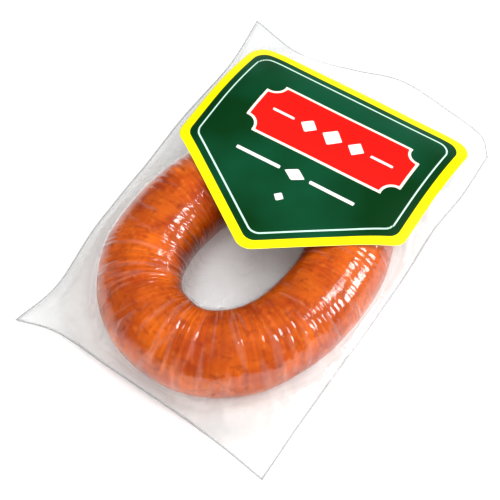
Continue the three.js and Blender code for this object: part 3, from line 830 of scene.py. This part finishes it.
MEMBRANE_STEPS = 4
BORDER_STEPS = 10
TURN_STEPS = 5
HUG_STEPS = 30
FIRST_HUG_ROW = MEMBRANE_STEPS + TURN_STEPS
FOLLOWS_WRINKLES = 0.45  # how much of the sausage's fine wrinkles shows in the film
BORDER_SWAY = 0.7
LABEL_CLEARANCE = 1.7 * FILM  # from the middle of the front film up to the back of the label


def make_film(name, node, contact, side, creases, contact_end):
    """One web of the pouch. Side is 1 for the front and -1 for the back. Contact gives the two angles between
    which it is drawn on to the sausage, and contact_end where that ends in mm from the top or the bottom of
    the sausage. The normals point up, so creases and lumps are turned over for the back."""
    lift = side * APART / 2
    section = film_section(*contact, side, lift, HUG_STEPS, TURN_STEPS)
    middle, grid = film_grid(section, lift, MEMBRANE_STEPS, BORDER_STEPS)
    start = FILM_RADIUS * math.radians(abs(contact[0] - (90 if side > 0 else 270)))
    across = distance_across(grid, FIRST_HUG_ROW, -start)
    along = np.broadcast_to(column_length, across.shape)
    reach = ((grid[..., :2] - column_point) * column_outward).sum(-1)
    angle = np.arctan2(grid[..., 2] - AXIS_Z, reach)
    on_tube = ramp(across, -46, -32) * ramp(across, contact_end + 8, contact_end)
    raised = crease_height(along, across, creases)
    past_ends = ramp(from_ends, 22, 30)
    swell = on_tube * past_ends * (lumps(along, angle) + FOLLOWS_WRINKLES * wrinkles(along, angle))
    push = side * (raised + swell)
    grid = grid + surface_normals(middle, grid) * push[..., None]
    from_edge = edge_distance(grid)
    border = ramp(reach, FILM_RADIUS + 5, FILM_RADIUS + 15)
    slow_sway = waves(along, 0.0, 14, 46, 18, 0, seed=41)
    sway = slow_sway + 0.5 * waves(along, 0.0, 10, 24, 14, 0, seed=42)
    grid[..., 2] += BORDER_SWAY * border * sway * ramp(from_edge, -6, 10)
    u, v = label_place(grid[..., 0], grid[..., 1])
    ceiling = label_height(grid[..., 0], grid[..., 1]) - LABEL_THICK / 2 - LABEL_CLEARANCE
    ceiling = ceiling + lift - APART / 2
    under_label = shield_distance(u, v, 0, LABEL_CORNER) < 1.5
    grid[..., 2] = np.where(under_label, np.minimum(grid[..., 2], ceiling), grid[..., 2])
    grid[..., 2] = np.maximum(grid[..., 2], FILM / 2 + lift + APART / 2)
    past = across - contact_end
    free = ramp(past, 2, 17) * (1 - 0.8 * ramp(past, 17, 28)) + 0.12 * ramp(across, -32, -38)
    loose = np.clip(free + (0.16 + 0.5 * free) * ramp(raised, 0.1, 0.4), 0, 1)
    points = skin_points(middle, grid, FILM)
    layers = {"loose": on_both_faces(loose, 1.0), "seal": on_both_faces(from_edge, 30.0)}
    film = build_piece(name, points, skin_faces(*grid.shape[:2]), layers, [film_material])
    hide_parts(node)
    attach(film, "root")


# %% [markdown]
# On the near side and the right the front film is drawn down less far: it leaves the sausage higher up and
# slants to the border, and that slope is what looks like mist beside the sausage.

# %% Front and back
towards_corner = column_outward @ np.array([0.75, -0.66])
uneven = 6 * waves(column_length, 0.0, 24, 70, 12, 0, seed=44)
leave_angle = 3 + 7 * ramp(towards_corner, -0.2, 0.6) + uneven
front_contact = (180.0, leave_angle)
front_end = FILM_RADIUS * np.radians(90 - leave_angle)
make_film("film_front", "front_film", front_contact, 1, front_creases, front_end)
back_contact = (220.0, 320.0)
back_end = FILM_RADIUS * math.radians(back_contact[1] - 270)
make_film("film_back", "back_film", back_contact, -1, back_creases, back_end)

# %% [markdown]
# ## The label
# A self-adhesive label of coated paper, printed in yellow and dark green with a pale keyline, and die-cut
# with rounded corners. Its print is worked out from distances: the distance in from the outline says where
# the yellow border ends, and the distance from a ticket shape with scooped corners says where the red
# plaque is. Each distance is kept at the label's points, and the material cuts it off sharply. A plain
# ornament of lozenges and bars fills the space where a label's words would be.

# %% Print on coated paper
def printed_label():
    """Coated paper, offset printed and varnished: smooth satin, flat areas of ink with crisp edges."""
    material, tree = new_material("varnished_printed_paper")
    place = add(tree, "ShaderNodeTexCoord").outputs["Object"]

    def ink(layer, over, code, edge=0.12):
        """Covers what is below with a colour wherever a stored distance is negative."""
        distance = add(tree, "ShaderNodeAttribute", attribute_name=layer).outputs["Fac"]
        limits = {"Value": distance, "From Min": edge, "From Max": -edge}
        share = add(tree, "ShaderNodeMapRange", limits).outputs[0]
        pair = {0: share, 6: over, 7: code}
        return add(tree, "ShaderNodeMix", pair, data_type="RGBA").outputs[2]

    # 22 to the metre: the green deepens and lightens slowly, about every 45 mm.
    mottle = add(tree, "ShaderNodeTexNoise", {"Vector": place, "Scale": 22, "Detail": 2}).outputs[0]
    limits = {"Value": mottle, "From Min": 0.35, "From Max": 0.65}
    share = add(tree, "ShaderNodeMapRange", limits).outputs[0]
    pair = {0: share, 6: colour("#01300f"), 7: colour("#04482c")}
    green = add(tree, "ShaderNodeMix", pair, data_type="RGBA").outputs[2]
    face = ink("field", colour("#fdf000"), green)
    face = ink("keyline", face, colour("#c9efdc"))
    face = ink("plaque_rim", face, colour("#f4efdc"))
    face = ink("plaque", face, colour("#d8120a"))
    face = ink("ornament", face, colour("#f4f6ee"))
    # Paper's grain is finer than the render shows. It is drawn about 0.4 mm apart and very shallow.
    grain = add(tree, "ShaderNodeTexNoise", {"Vector": place, "Scale": 2600, "Detail": 2}).outputs[0]
    relief_inputs = {"Height": grain, "Strength": 0.05, "Distance": 0.0001}
    relief = add(tree, "ShaderNodeBump", relief_inputs).outputs[0]
    inputs = {"Base Color": face, "Roughness": 0.4, "Normal": relief, "Specular IOR Level": 0.2}
    shader = add(tree, "ShaderNodeBsdfPrincipled", inputs).outputs[0]
    add(tree, "ShaderNodeOutputMaterial", {"Surface": shader})
    return material


def label_backing():
    """The back and cut edge of the label: white uncoated paper with a dull coat of adhesive."""
    material, tree = new_material("label_paper_back")
    place = add(tree, "ShaderNodeTexCoord").outputs["Object"]
    # Single fibres are too thin to show, so they are drawn as flecks about 1.4 mm apart.
    fibres = add(tree, "ShaderNodeTexNoise", {"Vector": place, "Scale": 700, "Detail": 5}).outputs[0]
    pair = {0: fibres, 6: colour("#e4e2da"), 7: colour("#f6f4ee")}
    paper = add(tree, "ShaderNodeMix", pair, data_type="RGBA").outputs[2]
    shader = add(tree, "ShaderNodeBsdfPrincipled", {"Base Color": paper, "Roughness": 0.7}).outputs[0]
    add(tree, "ShaderNodeOutputMaterial", {"Surface": shader})
    return material


# %% Shapes of the print
PLAQUE_AT = (4.0, 35.0)
PLAQUE_HALF = (41.0, 15.5)
PLAQUE_SCOOP = 7.0
PLAQUE_RIM = 1.3


def bar(u, v, centre, half):
    """Signed distance from an upright rectangle."""
    x, y = np.abs(u - centre[0]) - half[0], np.abs(v - centre[1]) - half[1]
    return np.hypot(np.maximum(x, 0), np.maximum(y, 0)) + np.minimum(np.maximum(x, y), 0)


def ticket(u, v, grow):
    """Rectangle with its corners scooped out by circles: inside the bar and outside all four circles."""
    half = (PLAQUE_HALF[0] + grow, PLAQUE_HALF[1] + grow)
    x, y = np.abs(u - PLAQUE_AT[0]), np.abs(v - PLAQUE_AT[1])
    scoop = PLAQUE_SCOOP - grow - np.hypot(x - PLAQUE_HALF[0], y - PLAQUE_HALF[1])
    return np.maximum(bar(u, v, PLAQUE_AT, half), scoop)


def lozenge(u, v, centre, half):
    """Upright diamond, from the sum of the distances each way."""
    sum_of_both = np.abs(u - centre[0]) / half[0] + np.abs(v - centre[1]) / half[1] - 1
    return sum_of_both * half[0] * half[1] / math.hypot(*half)


def ornament(u, v):
    """Three lozenges and two bars on the plaque, and a divider of two bars and a lozenge below it."""
    x, y = PLAQUE_AT
    shapes = [lozenge(u, v, (x + k * 13, y), (5.4 - abs(k), 5.4 - abs(k))) for k in (-1, 0, 1)]
    shapes += [bar(u, v, (x + side * 27, y), (6.0, 0.7)) for side in (-1, 1)]
    shapes += [lozenge(u, v, (x - 4, 6.5), (5.5, 3.6))]
    shapes += [bar(u, v, (x - 4 + side * 20, 6.5), (12.0, 0.9)) for side in (-1, 1)]
    shapes += [lozenge(u, v, (x - 4, -8), (2.6, 2.6))]
    return np.min(shapes, axis=0)


# %% The label's sheet
LABEL_ROWS = 190
LABEL_COLUMNS = 150


def label_half_width(v):
    """Half width of the outline at each height, found by halving the interval until it is exact enough."""
    low, high = np.zeros_like(v), np.full_like(v, LABEL_HALF_WIDTH)
    for _ in range(40):
        middle = (low + high) / 2
        inside = shield_distance(middle, v, 0, LABEL_CORNER) < 0
        low, high = np.where(inside, middle, low), np.where(inside, high, middle)
    return low


def make_label(front, back):
    """Rows run from the point to the top and crowd together at both ends, columns from left to right."""
    tip = -LABEL_POINT + LABEL_CORNER * (LABEL_SLANT / LABEL_HALF_WIDTH - 1)
    share = (1 - np.cos(np.linspace(0, 1, LABEL_ROWS) * math.pi)) / 2
    share = 0.7 * np.linspace(0, 1, LABEL_ROWS) + 0.3 * share
    v = (tip + 0.02 + share * (LABEL_ABOVE - tip - 0.04))[:, None]
    u = label_half_width(v) * np.linspace(-1, 1, LABEL_COLUMNS)[None, :]
    v = np.broadcast_to(v, u.shape)
    c, s = math.cos(LABEL_TURN), math.sin(LABEL_TURN)
    x, y = LABEL_AT[0] + u * c - v * s, LABEL_AT[1] + u * s + v * c
    z = label_height(x, y) + 0.12 * np.sin(x / 9 + 0.7) * np.sin(y / 11)
    middle = np.stack([x, y, z], axis=-1).reshape(-1, 3)
    up = np.array([0, 0, LABEL_THICK / 2])
    count = len(middle)
    upper = grid_quads(LABEL_ROWS, LABEL_COLUMNS, wraps=False)[:, ::-1]
    lower = upper[:, ::-1] + count
    row, column = np.arange(LABEL_ROWS) * LABEL_COLUMNS, np.arange(LABEL_COLUMNS)
    rim = np.concatenate([
        column, row[1:] + LABEL_COLUMNS - 1, row[-1] + column[::-1][1:], row[::-1][1:-1]
    ])
    following = np.roll(rim, -1)
    strip = np.stack([rim, rim + count, following + count, following], -1)
    inks = {
        "field": shield_distance(u, v, 4.6, 6.5),
        "keyline": np.abs(shield_distance(u, v, 8.4, 6.0)) - 0.42,
        "plaque_rim": ticket(u, v, PLAQUE_RIM),
        "plaque": ticket(u, v, 0.0),
        "ornament": ornament(u, v),
    }
    layers = {name: np.tile(values.ravel(), 2) for name, values in inks.items()}
    paper = np.concatenate([np.zeros(len(upper)), np.ones(len(lower) + len(strip))])
    faces = [np.concatenate([upper, lower, strip])]
    points = np.concatenate([middle + up, middle - up])
    return build_piece("label_sheet", points, faces, layers, [front, back], paper)


label = make_label(printed_label(), label_backing())
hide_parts("label")
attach(label, "root")

# %% [markdown]
# ## The studio
# A white table under an even pale sky, with two softboxes on the far right. They are small and bright,
# because what tells the eye that there is film over the sausage is their reflection, broken up by the
# creases. Three wide panels, in front, behind and above, give most of the light and leave no reflection.
# The colours are shown by the standard transform, which keeps strong inks strong.

# %% Table, light and camera
def white_table():
    """A sprayed white board: matt, with no grain that would show at this distance."""
    material, tree = new_material("matt_white_board")
    place = add(tree, "ShaderNodeTexCoord").outputs["Object"]
    # Sprayed paint is finer than this. Its flecks are drawn about 3.3 mm apart and hardly differ.
    fleck = add(tree, "ShaderNodeTexNoise", {"Vector": place, "Scale": 300, "Detail": 2}).outputs[0]
    pair = {0: fleck, 6: colour("#f6f6f6"), 7: colour("#fafafa")}
    paint = add(tree, "ShaderNodeMix", pair, data_type="RGBA").outputs[2]
    inputs = {"Base Color": paint, "Roughness": 0.8, "Specular IOR Level": 0.1}
    shader = add(tree, "ShaderNodeBsdfPrincipled", inputs).outputs[0]
    add(tree, "ShaderNodeOutputMaterial", {"Surface": shader})
    return material


TABLE_GAP = 0.05  # keeps the board clear of the film that lies on it
TABLE_HALF = 3000


def make_table(half):
    """One square face just under the pack."""
    around = ((-1, -1), (1, -1), (1, 1), (-1, 1))
    corners = np.array([[x * half, y * half, -TABLE_GAP] for x, y in around])
    return build_piece("table", corners, [np.array([[0, 1, 2, 3]])], {}, [white_table()])


def aim(thing, azimuth, elevation, distance, target):
    """Stands a lamp or a camera off its target, facing it. Azimuth and elevation are in degrees."""
    a, e = math.radians(azimuth), math.radians(elevation)
    towards = Vector((math.sin(a) * math.cos(e), -math.cos(a) * math.cos(e), math.sin(e)))
    thing.location = target + towards * distance
    thing.rotation_euler = towards.to_track_quat("Z", "Y").to_euler()


def softbox(name, azimuth, elevation, distance, width, height, brightness):
    """Area light that faces the pack. Brightness is what its face shows, so its power goes with its size."""
    light = bpy.data.lights.new(name, "AREA")
    light.shape = "RECTANGLE"
    light.size, light.size_y = width, height
    light.energy = brightness * math.pi * width * height
    lamp = bpy.data.objects.new(name, light)
    bpy.context.scene.collection.objects.link(lamp)
    aim(lamp, azimuth, elevation, distance, Vector((0.0, 0.0, 0.0)))
    return lamp


make_table(TABLE_HALF)
softbox("low_softbox", 116, 24, 0.9, 0.19, 0.27, 21)
softbox("high_softbox", 122, 52, 0.9, 0.22, 0.21, 14)
front_panel = softbox("front_panel", 34, 57, 1.2, 1.0, 1.0, 3.5)
back_panel = softbox("back_panel", 214, 60, 1.3, 1.0, 1.0, 1.2)
top_panel = softbox("top_panel", 34, 86, 1.2, 0.9, 0.9, 2.7)
for panel in (front_panel, back_panel, top_panel):
    panel.visible_glossy = False

world = bpy.data.worlds.new("pale_sky")
bpy.context.scene.world = world
world.use_nodes = True
sky = world.node_tree.nodes["Background"]
sky.inputs["Color"].default_value = colour("#fbfcff")
sky.inputs["Strength"].default_value = 0.13
bpy.context.scene.view_settings.view_transform = "Standard"
bpy.context.scene.cycles.transparent_max_bounces = 32  # light crosses four faces of film each way

# %% Camera
VIEW_AZIMUTH = 34
VIEW_ELEVATION = 58
VIEW_DISTANCE = 0.75
VIEW_TARGET = Vector((0.00184, -0.01193, 0.0))

camera_data = bpy.data.cameras.new("camera")
camera_data.lens = 111.06
camera = bpy.data.objects.new("camera", camera_data)
bpy.context.scene.collection.objects.link(camera)
aim(camera, VIEW_AZIMUTH, VIEW_ELEVATION, VIEW_DISTANCE, VIEW_TARGET)
bpy.context.scene.camera = camera
